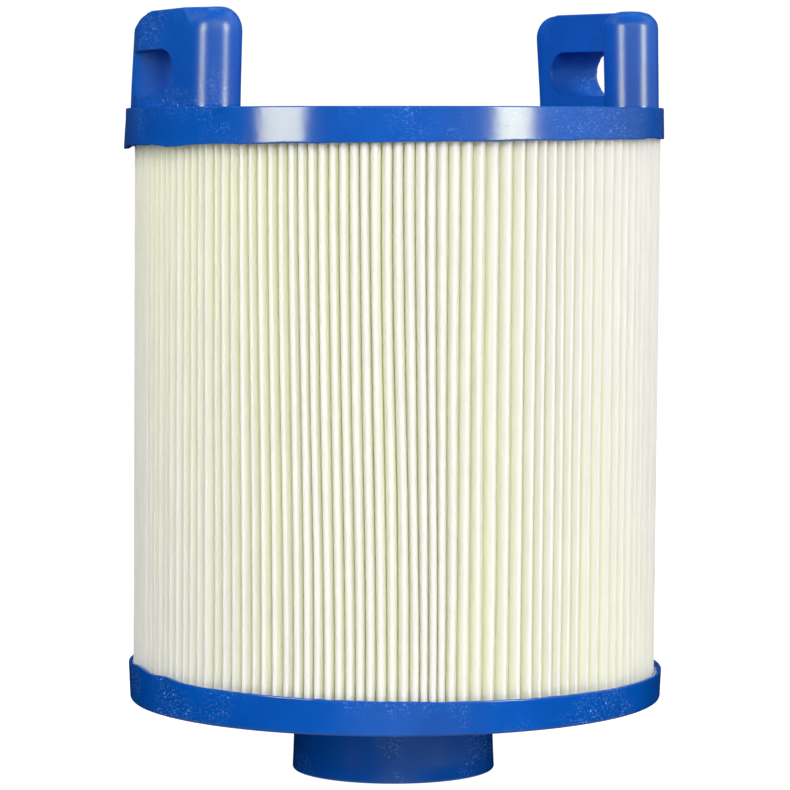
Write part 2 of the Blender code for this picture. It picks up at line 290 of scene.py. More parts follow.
class Nodes:
    """Short ways to add and join the nodes of one material."""

    def __init__(self, name):
        self.material = bpy.data.materials.new(name)
        self.material.use_nodes = True
        self.tree = self.material.node_tree
        self.shader = self.tree.nodes["Principled BSDF"]
        self.output = self.tree.nodes["Material Output"]
        self.coords = self.tree.nodes.new("ShaderNodeTexCoord").outputs["Object"]

    def link(self, source, target):
        self.tree.links.new(source, target)

    def add(self, kind, **settings):
        node = self.tree.nodes.new(kind)
        for key, value in settings.items():
            setattr(node, key, value)
        return node

    def put(self, socket, value):
        """Joins a socket to an output, or sets its value."""
        if isinstance(value, bpy.types.NodeSocket):
            self.link(value, socket)
        else:
            socket.default_value = value

    def stretch(self, scale):
        """Object coordinates, stretched along the axes."""
        node = self.add("ShaderNodeVectorMath", operation="MULTIPLY")
        self.link(self.coords, node.inputs[0])
        node.inputs[1].default_value = scale
        return node.outputs["Vector"]

    def noise(self, vector, scale, detail=3.0, roughness=0.55):
        node = self.add("ShaderNodeTexNoise")
        self.link(vector, node.inputs["Vector"])
        node.inputs["Scale"].default_value = scale
        node.inputs["Detail"].default_value = detail
        node.inputs["Roughness"].default_value = roughness
        return node.outputs["Fac"]

    def ramp(self, value, low, high, out_low=0.0, out_high=1.0):
        """A clamped straight line from (low, out_low) to (high, out_high)."""
        node = self.add("ShaderNodeMapRange", clamp=True)
        self.put(node.inputs["Value"], value)
        set_range(node, low, high, out_low, out_high)
        return node.outputs["Result"]

    def math(self, operation, first, second=0.0):
        node = self.add("ShaderNodeMath", operation=operation)
        self.put(node.inputs[0], first)
        self.put(node.inputs[1], second)
        return node.outputs["Value"]

    def mix(self, factor, first, second):
        node = self.add("ShaderNodeMix", data_type="RGBA")
        self.put(node.inputs["Factor"], factor)
        self.put(node.inputs["A"], first)
        self.put(node.inputs["B"], second)
        return node.outputs["Result"]

    def bump(self, height, distance, strength=1.0, normal=None):
        node = self.add("ShaderNodeBump")
        self.put(node.inputs["Height"], height)
        node.inputs["Distance"].default_value = distance
        node.inputs["Strength"].default_value = strength
        if normal:
            self.link(normal, node.inputs["Normal"])
        return node.outputs["Normal"]

    def axes(self):
        """The three object coordinates."""
        node = self.add("ShaderNodeSeparateXYZ")
        self.link(self.coords, node.inputs[0])
        return node.outputs["X"], node.outputs["Y"], node.outputs["Z"]

    def radius(self):
        """Distance from the cartridge's axis."""
        x, y, _ = self.axes()
        squares = self.math("ADD", self.math("MULTIPLY", x, x), self.math("MULTIPLY", y, y))
        return self.math("SQRT", squares)

    def box(self, low, high):
        """1 in a box of the object, between two corners in mm, and 0 past its soft sides."""
        inside = 1.0
        for value, least, most in zip(self.axes(), low, high):
            inside = self.math("MULTIPLY", inside, self.ramp(value, (least - 0.5) * MM, least * MM))
            inside = self.math("MULTIPLY", inside, self.ramp(value, (most + 0.5) * MM, most * MM))
        return inside


def polyurethane():
    """Cast blue polyurethane: semi-gloss, with scuffs, flecks and a soft unevenness."""
    n = Nodes("cast_polyurethane")
    cloud = n.noise(n.coords, 60.0, 3.0)
    deep = (0.0004, 0.058, 0.31, 1.0)
    light = (0.0010, 0.070, 0.36, 1.0)
    colour = n.mix(n.ramp(cloud, 0.35, 0.65), deep, light)

    # Scuffs: short pale scratches round the rims, in patches
    streaks = n.noise(n.stretch((1.0, 1.0, 5.0)), 420.0, 4.0, 0.7)
    patches = n.noise(n.coords, 38.0, 3.0)
    scuffed = n.math("MULTIPLY", n.ramp(streaks, 0.58, 0.72), n.ramp(patches, 0.47, 0.60))
    colour = n.mix(n.math("MULTIPLY", scuffed, 0.45), colour, (0.16, 0.34, 0.72, 1.0))

    # Specks: the chalky bloom of handling, on and round the rims
    specks = n.noise(n.coords, 1700.0, 3.0, 0.6)
    bloom = n.math("MULTIPLY", n.ramp(specks, 0.56, 0.66), n.ramp(patches, 0.49, 0.57))
    colour = n.mix(n.math("MULTIPLY", bloom, 0.24), colour, (0.22, 0.42, 0.78, 1.0))

    # Flecks: small pale nicks
    voronoi = n.add("ShaderNodeTexVoronoi", feature="F1")
    n.link(n.coords, voronoi.inputs["Vector"])
    voronoi.inputs["Scale"].default_value = 330.0
    nick = n.ramp(voronoi.outputs["Distance"], 0.13, 0.05)
    fleck = n.math("MULTIPLY", nick, n.ramp(patches, 0.52, 0.60))
    colour = n.mix(n.math("MULTIPLY", fleck, 0.5), colour, (0.30, 0.52, 0.85, 1.0))

    n.put(n.shader.inputs["Base Color"], colour)
    grain = n.noise(n.coords, 900.0, 3.0, 0.6)
    height = n.axes()[2]
    on_ears = n.ramp(height, TOP_FACE_Z + 0.3 * MM, TOP_FACE_Z + 0.8 * MM, 0.0, 0.14)
    rough = n.math("ADD", n.ramp(grain, 0.3, 0.7, 0.166, 0.174), n.math("MULTIPLY", scuffed, 0.25))
    rough = n.math("ADD", rough, on_ears)
    # The slots' walls, and the second ear's post behind its slot, are dull as they left the core
    bottom, top = TOP_FACE_Z / MM + 3.0, TOP_FACE_Z / MM + 17.0
    in_slot = n.box((53.5, -29.0, bottom), (67.0, -5.0, top))
    in_slot = n.math("ADD", in_slot, n.box((-67.0, 5.0, bottom), (-53.5, 28.0, top)))
    in_slot = n.math("ADD", in_slot, n.box((-62.5, 29.0, bottom), (-45.0, 50.0, top)))
    rough = n.math("ADD", rough, n.math("MULTIPLY", in_slot, 0.35))
    n.put(n.shader.inputs["Roughness"], rough)
    n.put(n.shader.inputs["Specular IOR Level"], n.ramp(in_slot, 0.0, 1.0, 1.0, 0.3))
    n.shader.inputs["Specular Tint"].default_value = (1.0, 0.97, 0.5, 1.0)

    waves = n.noise(n.coords, 130.0, 2.0)
    normal = n.bump(waves, 0.25 * MM, 0.25)
    pits = n.noise(n.coords, 1100.0, 4.0, 0.7)
    normal = n.bump(n.math("ADD", pits, n.math("MULTIPLY", scuffed, 0.6)), 0.02 * MM, 0.15, normal)
    n.put(n.shader.inputs["Normal"], normal)
    return n.material


def fleece():
    """Spunbond polyester: creamy and a little see-through; its colour turns yellower deep between the
    pleats, which is painted shade standing in for light bounced in the gaps.
    """
    n = Nodes("spunbond_polyester")
    # Painted shade: inward of the tips the colour fades to a yellower tone, standing in for the tinted
    # light bounced deep between the pleats
    depth = n.ramp(n.radius(), 71.2 * MM, 73.2 * MM)
    mottle = n.noise(n.stretch((1.0, 1.0, 0.25)), 260.0, 4.0, 0.6)
    tip = n.mix(n.ramp(mottle, 0.3, 0.7), (0.872, 0.868, 0.832, 1.0), (0.905, 0.90, 0.87, 1.0))
    colour = n.mix(depth, (0.95, 0.955, 0.73, 1.0), tip)
    n.put(n.shader.inputs["Base Color"], colour)
    n.shader.inputs["Roughness"].default_value = 0.62
    n.shader.inputs["Specular IOR Level"].default_value = 0.25
    n.shader.inputs["Sheen Weight"].default_value = 0.08

    fibres = n.noise(n.stretch((1.0, 1.0, 0.45)), 2400.0, 4.0, 0.7)
    normal = n.bump(fibres, 0.06 * MM, 0.35)
    waves = n.noise(n.stretch((1.0, 1.0, 0.3)), 190.0, 2.0)
    normal = n.bump(waves, 0.2 * MM, 0.25, normal)
    n.put(n.shader.inputs["Normal"], normal)

    glow = n.add("ShaderNodeBsdfTranslucent")
    n.put(glow.inputs["Color"], colour)
    n.put(glow.inputs["Normal"], normal)
    blend = n.add("ShaderNodeMixShader")
    blend.inputs["Fac"].default_value = 0.50
    n.link(n.shader.outputs["BSDF"], blend.inputs[1])
    n.link(glow.outputs["BSDF"], blend.inputs[2])
    n.link(blend.outputs["Shader"], n.output.inputs["Surface"])
    return n.material


def moulded_plastic(name, colour, roughness):
    """White moulded plastic of the parts inside, with a fine satin grain."""
    n = Nodes(name)
    cloud = n.noise(n.coords, 90.0, 2.0)
    dull = tuple(0.92 * share for share in colour) + (1.0,)
    n.put(n.shader.inputs["Base Color"], n.mix(n.ramp(cloud, 0.35, 0.65), dull, (*colour, 1.0)))
    grain = n.noise(n.coords, 1500.0, 3.0)
    n.put(n.shader.inputs["Roughness"], n.ramp(grain, 0.3, 0.7, roughness - 0.06, roughness + 0.06))
    n.put(n.shader.inputs["Normal"], n.bump(grain, 0.03 * MM, 0.3))
    return n.material


# The castings


def uneven(seed, scale, place, height):
    """Smooth seeded unevenness of a moulded surface, about -1 to 1."""
    angle = math.radians(place)
    return noise.noise(Vector((math.cos(angle) * scale, math.sin(angle) * scale, height * 40.0 + seed)))


def lip_height(place, lean, seed, drips):
    """How far a lip lies above its mean height: the resin's level, its ripples and its runs."""
    rise = lean * TOP_CAP_RADIUS * math.sin(math.radians(place))
    rise += 0.16 * MM * uneven(seed, 9.0, place, 0.0) + 0.10 * MM * uneven(seed + 5.0, 24.0, place, 0.0)
    for centre, width, height in drips:
        rise += height * MM * bump(place, centre, width)
    return rise


def top_cap(material):
    """The top casting: a disc with a rim that hangs over the media, and the two ears."""
    # Runs on the lip: place, width in degrees, and how far they rise, in mm
    drips = ((-85.0, 4.0, -1.0), (-53.0, 5.0, -0.5), (-41.0, 4.0, 0.15), (70.0, 4.0, 0.15))
    edge_round = 0.4 * MM
    lip_round = 0.3 * MM
    draft = 0.12 * MM
    wall = TOP_CAP_RADIUS - draft
    core_end = TOP_LIP_Z + 4.5 * MM
    profile = [(reach * MM, TOP_FACE_Z) for reach in (0.0, 20.0, 40.0, 58.0, 70.0)]
    profile += arc((wall - edge_round, TOP_FACE_Z - edge_round), edge_round, 90.0, 0.0, 6)
    fall = TOP_LIP_Z + lip_round - (TOP_FACE_Z - edge_round)
    for share in (0.03, 0.3, 0.6, 0.9, 0.97):
        profile.append((wall + draft * share, TOP_FACE_Z - edge_round + share * fall))
    profile += arc((TOP_CAP_RADIUS - lip_round, TOP_LIP_Z + lip_round), lip_round, 0.0, -90.0, 4)
    profile += [(74.2 * MM, TOP_LIP_Z + 0.1 * MM), (73.2 * MM, TOP_LIP_Z + 0.7 * MM)]
    profile += [(60.0 * MM, TOP_LIP_Z + TOP_RESIN_BACK), (RESIN_INNER_RADIUS, TOP_LIP_Z + TOP_RESIN_BACK)]
    profile += [(RESIN_INNER_RADIUS, core_end), (0.0, core_end)]

    def shape(place, radius, height):
        """Moves the lip to its level and runs, fading out towards the face, and ripples the skin."""
        share = smoothstep(TOP_FACE_Z - 2.0 * MM, TOP_LIP_Z + 0.6 * MM, height)
        height += share * lip_height(place, TOP_LIP_LEAN, 3.0, drips)
        if radius > 70.0 * MM:
            radius += 0.07 * MM * uneven(11.0, 7.0, place, height)
            radius += 0.45 * MM * share * bump(place, -86.0, 3.0)
        elif height > TOP_FACE_Z - MM:
            height += 0.10 * MM * uneven(17.0, 4.0, place, radius) * smoothstep(0.0, 70.0 * MM, radius)
        return radius, height

    mesh = turned_mesh("top_cap_casting", profile, CAP_SEGMENTS, shape)
    cap = new_object("top_cap_casting", mesh, material)
    for ear in EARS:
        apply_boolean(cap, ear_object(ear), "UNION")
    finish_casting(cap, material)
    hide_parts("top_end_cap")
    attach(cap, "root")


def bottom_cap(material):
    """The bottom casting: a rim that stands up round the media, and the spigot."""
    # As on the top cap
    drips = ((75.0, 5.0, -0.2), (-72.0, 7.0, 1.2), (-57.0, 5.0, 0.8))
    edge_round = 1.0 * MM
    lip_round = 0.35 * MM
    draft = 0.35 * MM
    foot_wall = BOTTOM_CAP_RADIUS - draft
    foot_round = 0.8 * MM
    small_round = 0.5 * MM
    core_end = BOTTOM_LIP_Z - 2.0 * MM
    resin = BOTTOM_LIP_Z - BOTTOM_RESIN_BACK
    profile = [(BORE_RADIUS, core_end), (BORE_RADIUS, SPIGOT_TOP_Z), (BORE_RADIUS, 8.0 * MM)]
    profile += arc((BORE_RADIUS + small_round, small_round), small_round, 180.0, 270.0, 4)
    profile += arc((SPIGOT_FOOT_RADIUS - foot_round, foot_round), foot_round, 270.0, 360.0, 6)
    for share in (0.25, 0.5, 0.75):
        flare = (SPIGOT_FOOT_RADIUS - SPIGOT_ROOT_RADIUS) * (1.0 - share) ** 1.5
        profile.append((SPIGOT_ROOT_RADIUS + flare, share * SPIGOT_TOP_Z))
    root = (SPIGOT_ROOT_RADIUS + small_round, SPIGOT_TOP_Z - small_round)
    profile += arc(root, small_round, 180.0, 90.0, 3)
    profile += [(45.0 * MM, SPIGOT_TOP_Z), (62.0 * MM, SPIGOT_TOP_Z)]
    profile += arc((foot_wall - edge_round, SPIGOT_TOP_Z + edge_round), edge_round, 270.0, 360.0, 7)
    for share in (0.03, 0.3, 0.6, 0.9, 0.97):
        height = SPIGOT_TOP_Z + edge_round + share * (BOTTOM_LIP_Z - SPIGOT_TOP_Z - edge_round - 0.4 * MM)
        profile.append((foot_wall + draft * share, height))
    profile += arc((BOTTOM_CAP_RADIUS - lip_round, BOTTOM_LIP_Z - lip_round), lip_round, 0.0, 90.0, 4)
    profile += [(74.1 * MM, BOTTOM_LIP_Z - 0.15 * MM), (73.2 * MM, BOTTOM_LIP_Z - 0.8 * MM)]
    profile += [(60.0 * MM, resin), (RESIN_INNER_RADIUS, resin), (RESIN_INNER_RADIUS, core_end)]

    def shape(place, radius, height):
        """Moves the lip to its level and runs, ripples the rim and sets the spigot a little aside."""
        share = smoothstep(SPIGOT_TOP_Z + 2.0 * MM, BOTTOM_LIP_Z - 0.6 * MM, height)
        height += share * lip_height(place, BOTTOM_LIP_LEAN, 41.0, drips)
        if radius > 70.0 * MM:
            radius += 0.06 * MM * uneven(23.0, 7.0, place, height)
        elif radius > 27.0 * MM and height < SPIGOT_TOP_Z - 0.1 * MM:
            radius += SPIGOT_ASIDE * math.sin(math.radians(place))
        return radius, height

    mesh = turned_mesh("bottom_cap_casting", profile, CAP_SEGMENTS, shape)
    cap = new_object("bottom_cap_casting", mesh, material)
    finish_casting(cap, material)
    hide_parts("bottom_end_cap")
    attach(cap, "root")


def finish_casting(cap, material):
    """One material, and smooth shading that keeps the casting's edges."""
    cap.data.materials.clear()
    cap.data.materials.append(material)
    cap.data.shade_smooth()
    cap.data.set_sharp_from_angle(angle=math.radians(32.0))


# The ears


def risen_mesh(name, outline, fillets, bottom, top, steps, drop=None):
    """An upright solid from a plan outline, drawn in at its top by each point's own fillet.

    drop, if given, is the height of all the fillets; otherwise a deeper one is higher too.
    """
    count = len(outline)
    points = [Vector(point) for point in outline]
    inward = []
    for index, point in enumerate(points):
        before = (point - points[index - 1]).normalized()
        after = (points[(index + 1) % count] - point).normalized()
        tangent = (before + after).normalized()
        inward.append(Vector((-tangent.y, tangent.x)))
    bm = bmesh.new()
    rings = []
    lowest_fillet = top - (drop or FILLET_STRETCH * max(fillets))
    for share in (0.0, 0.35, 0.7, 0.97):
        height = bottom + share * (lowest_fillet - bottom)
        rings.append([bm.verts.new((point.x, point.y, height)) for point in points])
    for step in range(steps + 1):
        turn = 0.5 * math.pi * step / steps
        ring = []
        for point, fillet, direction in zip(points, fillets, inward):
            moved = point + direction * fillet * (1.0 - math.cos(turn))
            height = top - (drop or FILLET_STRETCH * fillet) * (1.0 - math.sin(turn))
            ring.append(bm.verts.new((moved.x, moved.y, height)))
        rings.append(ring)
    for lower, upper in zip(rings, rings[1:]):
        for index in range(count):
            after = (index + 1) % count
            bm.faces.new((lower[index], lower[after], upper[after], upper[index]))
    bm.faces.new(rings[0])
    bm.faces.new(rings[-1])
    bmesh.ops.triangulate(bm, faces=bm.faces)
    return mesh_from_bmesh(name, bm)


def plate_mesh():
    """The ear's plate, anticlockwise in plan: round end, then inner face, post end, outer face."""
    inner_x = EAR_END.x - EAR_RADIUS
    outer_x = EAR_END.x + EAR_RADIUS
    reach = EAR_POST.length + EAR_RADIUS - PLATE_INSET
    face_end = -math.sqrt(reach**2 - outer_x**2)
    outline = []
    fillets = []

    def add(point, fillet):
        outline.append(point)
        fillets.append(fillet)

    for x, y in arc(EAR_END, EAR_RADIUS, 0.0, 180.0, 30):
        add((x, y), EAR_FILLET_MM * MM)
    for share in (0.04, 0.10, 0.17, 0.25, 0.5, 0.8):
        fillet = max(SMALL_FILLET_MM, EAR_FILLET_MM - EAR_FILLET_LOSS_MM * share)
        add((inner_x, EAR_END.y + share * (EAR_POST.y - EAR_END.y)), fillet * MM)
    add((inner_x, EAR_POST.y), SMALL_FILLET_MM * MM)
    start = math.degrees(math.atan2(EAR_POST.y, EAR_POST.x))
    end = math.degrees(math.atan2(face_end, outer_x))
    for x, y in arc((0.0, 0.0), reach, start, end, 12):
        add((x, y), POST_END_FILLET_MM * MM)
    for share in (0.06, 0.2, 0.5, 0.75, 0.83, 0.90, 0.96):
        fillet = max(SMALL_FILLET_MM, POST_END_FILLET_MM - POST_END_FILLET_LOSS_MM * share)
        fillet = max(fillet, EAR_FILLET_MM - EAR_FILLET_LOSS_MM * (1.0 - share))
        add((outer_x, face_end + share * (EAR_END.y - face_end)), fillet * MM)
    return risen_mesh("plate", outline, fillets, TOP_FACE_Z - PLATE_ROOT, EAR_TOP_Z, 10)


def post_mesh(dome):
    """The ear's round post, drawn in by dome, in mm, at its top."""
    outline = arc(EAR_POST, EAR_RADIUS, 0.0, 360.0, 64)[:-1]
    fillets = [dome * MM] * len(outline)
    bottom = TOP_FACE_Z - POST_ROOT
    return risen_mesh("post", outline, fillets, bottom, POST_TOP_Z, 10, POST_FILLET_DROP)


def slot_mesh(ear):
    """The slot's cutter, which runs on round the post, with the ragged edge of torn flash."""
    low, high, corner = SLOT_LOW_MM, SLOT_HIGH_MM, SLOT_CORNER_MM
    start, end = ear["slot"], SLOT_FAR_END_MM
    section = []
    for along, height, first in (
        (-end + corner, high - corner, 90.0),
        (-end + corner, low + corner, 180.0),
        (-start - corner, low + corner, 270.0),
        (-start - corner, high - corner, 0.0),
    ):
        section += arc((along, height), corner, first, first + 90.0, 12)
    centre = Vector((-(start + end) / 2.0, (low + high) / 2.0))
    bm = bmesh.new()
    rings = []
    for across in np.linspace(-SLOT_HALF_DEPTH_MM, SLOT_HALF_DEPTH_MM, 21):
        ring = []
        for y, z in section:
            ragged = RAGGED_MM * noise.noise(Vector((y * 0.9, z * 0.9, across * 0.26 + 7.0 * ear["turn"])))
            moved = Vector((y, z)) + (Vector((y, z)) - centre).normalized() * ragged
            moved.x += ear["skew"] * across * (1.0 if y > centre.x else 0.0)
            place = (EAR_END.x + across * MM, EAR_END.y + moved.x * MM, TOP_FACE_Z + moved.y * MM)
            ring.append(bm.verts.new(place))
        rings.append(ring)
    for lower, upper in zip(rings, rings[1:]):
        for index in range(len(section)):
            after = (index + 1) % len(section)
            bm.faces.new((lower[index], lower[after], upper[after], upper[index]))
    bm.faces.new(rings[0])
    bm.faces.new(rings[-1])
    bmesh.ops.triangulate(bm, faces=bm.faces)
    return mesh_from_bmesh("slot", bm)


def ear_object(ear):
    """One ear with its slot, leaning as it came out of its mould, turned into its place."""
    obj = new_object("ear", plate_mesh())
    apply_boolean(obj, new_object("slot", slot_mesh(ear)), "DIFFERENCE")
    apply_boolean(obj, new_object("post", post_mesh(ear["dome"])), "UNION")
    foot, top = ear["foot"], ear["top"]
    for vert in obj.data.vertices:
        rise = max(0.0, (vert.co.z - TOP_FACE_Z) / (EAR_TOP_Z - TOP_FACE_Z))
        share = (EAR_END.y - vert.co.y) / (EAR_END.y - EAR_POST.y)
        low = foot[0] + (foot[1] - foot[0]) * share
        high = top[0] + (top[1] - top[0]) * share
        vert.co.y += (low + (high - low) * rise) * MM
        lift = ear["tilt"][0] + (ear["tilt"][1] - ear["tilt"][0]) * share
        lift -= ear["wear"] * smoothstep(0.85, 1.25, share) * smoothstep(0.7, 1.0, rise)
        vert.co.z += lift * rise * MM
    obj.data.transform(Matrix.Rotation(ear["turn"], 4, "Z"))
    return obj


# The pleated sheet

# Places in front, and how wide the pleats stand there, in degrees
CROWDING = (
    (-90.0, 2.45), (-60.0, 2.5), (-40.0, 2.45), (-22.0, 2.3), (-7.0, 2.35), (6.0, 2.25), (12.0, 2.95),
    (24.0, 3.1), (28.0, 2.45), (38.0, 2.5), (44.0, 3.2), (60.0, 3.1), (75.0, 2.5), (90.0, 2.4),
)

# How far the pleats in front wander to the right on their way down, in degrees
DRIFT = 2.1


def pleat_places():
    """The places of the pleats' tips at the top cap, from one side of the seam to the other."""
    rng = random.Random(150)
    knots, widths = zip(*CROWDING)

    def walk(sign):
        places = []
        place = 0.0
        while abs(place) < 90.0:
            place += sign * np.interp(place, knots, widths) * rng.uniform(0.92, 1.08)
            places.append(place)
        return places

    right = walk(1.0)
    left = walk(-1.0)
    front = left[::-1] + [0.0] + right
    behind = PLEATS - 1 - len(front)
    span = 360.0 - (front[-1] - front[0])
    pitch = span / (behind + 1)
    back = [front[-1] + pitch * (index + 1) + rng.uniform(-0.12, 0.12) for index in range(behind)]
    places = front + back
    seam = min(range(len(places)), key=lambda index: abs(places[index] - SEAM_PLACE))
    places = [place for index, place in enumerate(places) if index != seam]
    return sorted((place if place < SEAM_PLACE else place - 360.0) for place in places)


def drift_at(place):
    """How far the tips wander to the right on their way down, as a share of DRIFT."""
    return smoothstep(-56.0, -20.0, place) * (1.0 - smoothstep(-1.0, 15.0, place))


def sheet_row(tips, radii, level, unevenness):
    """The sheet's middle line in plan at a level, from 0 at the bottom to 1 at the top.

    unevenness is how each pleat waves and bows, as three arrays of shares.
    """
    fall = smoothstep(0.0, 1.0, 1.0 - level)
    tips = tips + DRIFT * drift_at(tips) * fall
    wave, phase, bow = unevenness
    tips = tips + 0.10 * wave * np.sin(2.0 * math.pi * (level * (1.3 + 0.5 * wave) + phase))
    tips = tips + 0.10 * bow * np.sin(2.0 * math.pi * (level * 0.7 + 1.7 * phase))
    folds = np.concatenate(([0.0], (tips[1:] + tips[:-1]) / 2.0, [0.0]))
    folds[0] = 0.5 * (tips[0] + SEAM_PLACE - 360.0)
    folds[-1] = 0.5 * (tips[-1] + SEAM_PLACE)

    path = pleat_path(tips, radii, folds)
    start, end = seam_edges()
    last = azimuth(folds[-1])
    closing = np.array([[math.cos(last), math.sin(last)]]) * FOLD_RADIUS
    path = np.concatenate([np.array(start), path, closing, np.array(end[::-1])])

    # The pack leans a little to the right on its way up
    offset = (PACK_ASIDE_MM + PACK_LEAN_MM * level) * MM
    reach = np.hypot(path[:, 0], path[:, 1])
    weight = np.clip((reach - FOLD_RADIUS) / (TIP_RADIUS - FOLD_RADIUS), 0.0, 1.0)
    return path + weight[:, None] * offset * np.array(RIGHTWARD)


def pleat_path(tips, radii, folds):
    """The sheet's middle line in plan, over all the pleats and from the first fold to the last."""
    columns = []

    def column(places, radius, aside):
        """Adds one point to each repeat, at a radius, and standing aside from a place."""
        turn = azimuth(places)
        x = radius * np.cos(turn) - aside * np.sin(turn)
        y = radius * np.sin(turn) + aside * np.cos(turn)
        columns.append(np.stack([x, y], -1))

    # One repeat: up the flank from a fold to the tip, round the tip, and down to the next fold
    before, after = folds[:-1], folds[1:]
    half_fold = 0.25 * np.radians(after - before) * FOLD_RADIUS
    # The tips are round in front and creased, so narrower, at the sides
    creased = 1.0 - smoothstep(-32.0, -15.0, tips) * (1.0 - smoothstep(10.0, 22.0, tips))
    half_tip = TIP_HALF_WIDTH * (1.0 - 0.38 * creased)
    foot = radii - half_tip
    inner = FOLD_RADIUS + half_fold
    slant = math.radians(45.0)
    for turn in (0.0, slant):
        column(before, inner - half_fold * math.cos(turn), half_fold * math.sin(turn))
    # Stations on a flank: radius, distance from the fold's line, or else the share of the room
    stations = [(inner, half_fold, 0.0), (inner + 8.0 * MM, None, 0.9), (foot - 14.0 * MM, None, 0.97)]
    # Neighbouring pleats swell until they almost touch a little way behind their tips: depths in
    # mm, and how much of the room they fill there, in front and where they are creased
    sink = (1.7, 1.35, 1.0, 0.7, 0.42, 0.18)
    swell = (1.0, 0.95, 0.80, 0.58, 0.32, 0.09)
    straight = (1.0, 0.80, 0.62, 0.44, 0.27, 0.11)
    for depth, share, plain in zip(sink, swell, straight):
        stations.append((foot - depth * MM, None, share + (plain - share) * creased))

    def flank(station, side):
        """How far a flank stands from the pleat's middle, or at the fold from the fold's line."""
        reach, width, share = station
        if width is not None:
            return width
        room = reach * np.radians(np.abs(side - tips)) - 0.5 * SHEET_THICKNESS - 0.03 * MM
        near = np.where(reach > foot - 4.0 * MM, half_tip, 0.0)
        return near + (room - near) * share

    for station in stations:
        width = flank(station, before)
        if station[1] is not None:
            column(before, station[0], width)
        else:
            column(tips, station[0], -width)
    for degrees in (-90.0, -60.0, -30.0, 0.0, 30.0, 60.0, 90.0):
        turn = math.radians(degrees)
        column(tips, foot + half_tip * math.cos(turn), half_tip * math.sin(turn))
    for station in stations[::-1]:
        width = flank(station, after)
        if station[1] is not None:
            column(after, station[0], -width)
        else:
            column(tips, station[0], width)
    column(after, inner - half_fold * math.cos(slant), -half_fold * math.sin(slant))
    return np.stack(columns, 1).reshape(-1, 2)


def seam_edges():
    """The sheet's two free ends in plan, from the edges at the seam in towards the folds."""
    seam = azimuth(SEAM_PLACE)
    outward = np.array([math.cos(seam), math.sin(seam)])
    sideways = np.array([-outward[1], outward[0]])
    start = []
    end = []
    for share in (0.0, 0.3, 0.7):
        reach = SEAM_EDGE_RADIUS + (FOLD_RADIUS + 1.0 * MM - SEAM_EDGE_RADIUS) * share
        apart = SEAM_HALF_WIDTH + (SEAM_FOLD_ASIDE - SEAM_HALF_WIDTH) * share
        start.append(outward * reach + sideways * apart)
        end.append(outward * reach - sideways * apart)
    return start, end


def side_steps(path, distance):
    """The path moved to its left by a distance."""
    along = np.empty_like(path)
    along[1:-1] = path[2:] - path[:-2]
    along[0] = path[1] - path[0]
    along[-1] = path[-1] - path[-2]
    along /= np.linalg.norm(along, axis=1)[:, None]
    return path + distance * np.stack([-along[:, 1], along[:, 0]], -1)


def pleated_sheet(material):
    """The media as one folded sheet with a thickness, closed along both of its long edges."""
    rng = np.random.default_rng(7)
    tips = np.array(pleat_places())
    count = len(tips)
    wave = rng.uniform(-1.0, 1.0, count)
    phase = rng.uniform(0.0, 1.0, count)
    bow = rng.uniform(-1.0, 1.0, count)
    lift = rng.normal(0.0, 0.13, count) * MM
    sway = rng.uniform(-1.0, 1.0, count)
    low, high = BOTTOM_LIP_Z - POTTING, TOP_LIP_Z + POTTING
    levels = np.linspace(0.0, 1.0, SHEET_ROWS)
    rows = []
    for level in levels:
        radii = TIP_RADIUS - 0.5 * SHEET_THICKNESS + lift + 0.12 * MM * sway * math.sin(math.pi * level)
        path = sheet_row(tips, radii, level, (wave, phase, bow))
        outer = side_steps(path, 0.5 * SHEET_THICKNESS)
        inner = side_steps(path, -0.5 * SHEET_THICKNESS)
        loop = np.concatenate([outer, inner[::-1]])
        height = np.full((len(loop), 1), low + level * (high - low))
        rows.append(np.concatenate([loop, height], 1))
    width = len(rows[0])
    verts = np.concatenate(rows)
    across = np.arange(width)
    after = (across + 1) % width
    quads = []
    for row in range(SHEET_ROWS - 1):
        base, above = row * width, (row + 1) * width
        quads.append(np.stack([base + across, base + after, above + after, above + across], 1))
    half = width // 2
    side = np.arange(half - 1)
    for base, flip in ((0, False), ((SHEET_ROWS - 1) * width, True)):
        far = base + width - 1 - side
        strip = np.stack([base + side, far, far - 1, base + side + 1], 1)
        quads.append(strip[:, ::-1] if flip else strip)
    faces = np.concatenate(quads)
    mesh = bpy.data.meshes.new("pleated_sheet")
    mesh.from_pydata(verts.tolist(), [], faces.tolist())
    mesh.update()
    sheet = new_object("pleated_sheet", mesh, material)
    bm = bmesh.new()
    bm.from_mesh(mesh)
    bmesh.ops.recalc_face_normals(bm, faces=bm.faces)
    bm.to_mesh(mesh)
    bm.free()
    mesh.shade_smooth()
    mesh.set_sharp_from_angle(angle=math.radians(50.0))
    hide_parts("pleated_media")
    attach(sheet, "root")


# Stage


def add_camera():
    """The camera, which stands about as high as the top face and looks a little down."""
    data = bpy.data.cameras.new("camera")
    data.lens = CAMERA_LENS
    data.clip_start, data.clip_end = 0.05, 30.0
    camera = bpy.data.objects.new("camera", data)
    bpy.context.scene.collection.objects.link(camera)
    back = VIEW_HEADING + math.pi
    camera.location = (
        CAMERA_DISTANCE * math.cos(back),
        CAMERA_DISTANCE * math.sin(back),
        CAMERA_HEIGHT,
    )
    camera.rotation_euler = (math.pi / 2 - CAMERA_PITCH, 0.0, VIEW_HEADING - math.pi / 2)
    bpy.context.scene.camera = camera


def area_light(name, width, height, power):
    """A rectangular light, linked to the scene."""
    data = bpy.data.lights.new(name, "AREA")
    data.shape = "RECTANGLE"
    data.size, data.size_y = width, height
    data.energy = power
    light = bpy.data.objects.new(name, data)
    bpy.context.scene.collection.objects.link(light)
    return light


